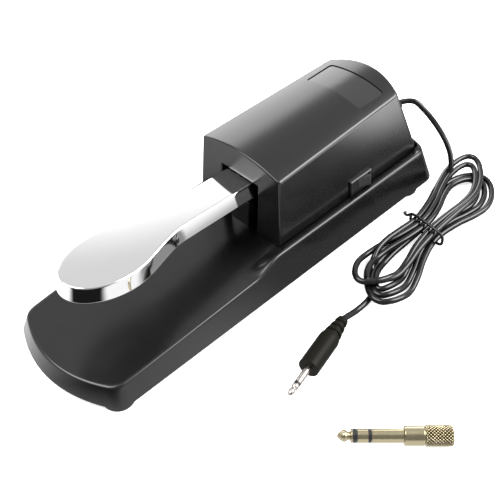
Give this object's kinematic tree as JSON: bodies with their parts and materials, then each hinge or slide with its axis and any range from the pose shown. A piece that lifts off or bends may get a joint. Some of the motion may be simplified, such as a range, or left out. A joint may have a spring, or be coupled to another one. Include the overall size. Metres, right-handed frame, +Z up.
{
  "type": "sustain pedal",
  "caption": "Piano-style sustain pedal: wedge base, crowned housing, sprung chrome lever, polarity rocker, coiled lead with a plug, and a loose plug adapter.",
  "frame": {"origin": "middle of the bottom plate's flat underside; the floor is 3.1 mm below it, under the rubber feet", "axes": "+Z up; -Y towards the lever's toe and the player; +Y towards the cable; +X towards the side with the polarity rocker"},
  "size_m": [0.1968, 0.2777, 0.0715],
  "materials": {
    "shell_plastic": "satin black moulded ABS with a fine grain",
    "plate_gloss": "smooth dark grey inset, blank",
    "lever_chrome": "mirror chrome plating",
    "steel_parts": "zinc-plated steel",
    "painted_plate": "matt black powder coat",
    "foot_rubber": "matt black rubber",
    "pad_felt": "pressed felt",
    "nylon": "natural nylon",
    "board": "solder-masked glass-epoxy board",
    "switch_plastic": "black moulded switch plastic",
    "cable_jacket": "soft black PVC with a slight sheen",
    "plug_nickel": "nickel plating",
    "adapter_gold": "pale gold plating"
  },
  "bodies": {
    "base": {"base_shell": "shell_plastic", "base_plate": "painted_plate", "foot_front_right": "foot_rubber", "foot_front_left": "foot_rubber", "foot_rear_right": "foot_rubber", "foot_rear_left": "foot_rubber", "plate_screw_front_right": "steel_parts", "plate_screw_front_left": "steel_parts", "plate_screw_rear_right": "steel_parts", "plate_screw_rear_left": "steel_parts", "housing": "shell_plastic", "name_plate": "plate_gloss", "housing_screw_front_right": "steel_parts", "housing_screw_front_left": "steel_parts", "housing_screw_rear_right": "steel_parts", "housing_screw_rear_left": "steel_parts", "pivot_bracket": "steel_parts", "pivot_axle": "steel_parts", "axle_clip_right": "steel_parts", "axle_clip_left": "steel_parts", "bracket_screw_right": "steel_parts", "bracket_screw_left": "steel_parts", "return_spring": "steel_parts", "spring_seat": "nylon", "stop_pad": "foot_rubber", "rest_pad": "pad_felt", "circuit_board": "board", "board_screw_front": "steel_parts", "board_screw_rear": "steel_parts", "contact_switch": "switch_plastic", "polarity_switch": "switch_plastic", "switch_wire_front": "cable_jacket", "switch_wire_rear": "cable_jacket", "cable_grommet": "foot_rubber", "cable": "cable_jacket", "cable_tie": "cable_jacket", "plug_grip": "cable_jacket", "plug_sleeve": "plug_nickel", "plug_insulator": "switch_plastic", "plug_tip": "plug_nickel"},
    "pedal_arm": {"lever": "lever_chrome", "pivot_bush_right": "nylon", "pivot_bush_left": "nylon", "spring_cap": "nylon"},
    "plunger": {"contact_plunger": "nylon"},
    "rocker": {"polarity_rocker": "switch_plastic"},
    "adapter": {"adapter_tip": "adapter_gold", "adapter_front_insulator": "switch_plastic", "adapter_ring": "adapter_gold", "adapter_rear_insulator": "switch_plastic", "adapter_sleeve": "adapter_gold", "adapter_barrel": "adapter_gold"}
  },
  "joints": [
    {"name": "pedal_press", "type": "hinge", "parent": "base", "child": "pedal_arm", "pos_m": [0, 0.088, 0.0405], "axis": [1, 0, 0], "range_deg": [0, 7], "stiffness_Nm_per_rad": 6, "springref_deg": -11.46, "deforming": ["return_spring"]},
    {"name": "contact_press", "type": "slide", "parent": "base", "child": "plunger", "axis": [0, 0, -1], "range_m": [0, 0.003]},
    {"name": "polarity_flip", "type": "hinge", "parent": "base", "child": "rocker", "pos_m": [0.02776, 0.063, 0.02521], "axis": [-0.0941, 0, 0.9956], "range_deg": [0, 18]},
    {"name": "adapter_lift", "type": "slide", "parent": "base", "child": "adapter", "axis": [0, 0, 1], "range_m": [0, 0.05]}
  ],
  "couplings": [
    {"joint": "contact_press", "follows": "pedal_press", "m_per_rad": 0.0205}
  ]
}
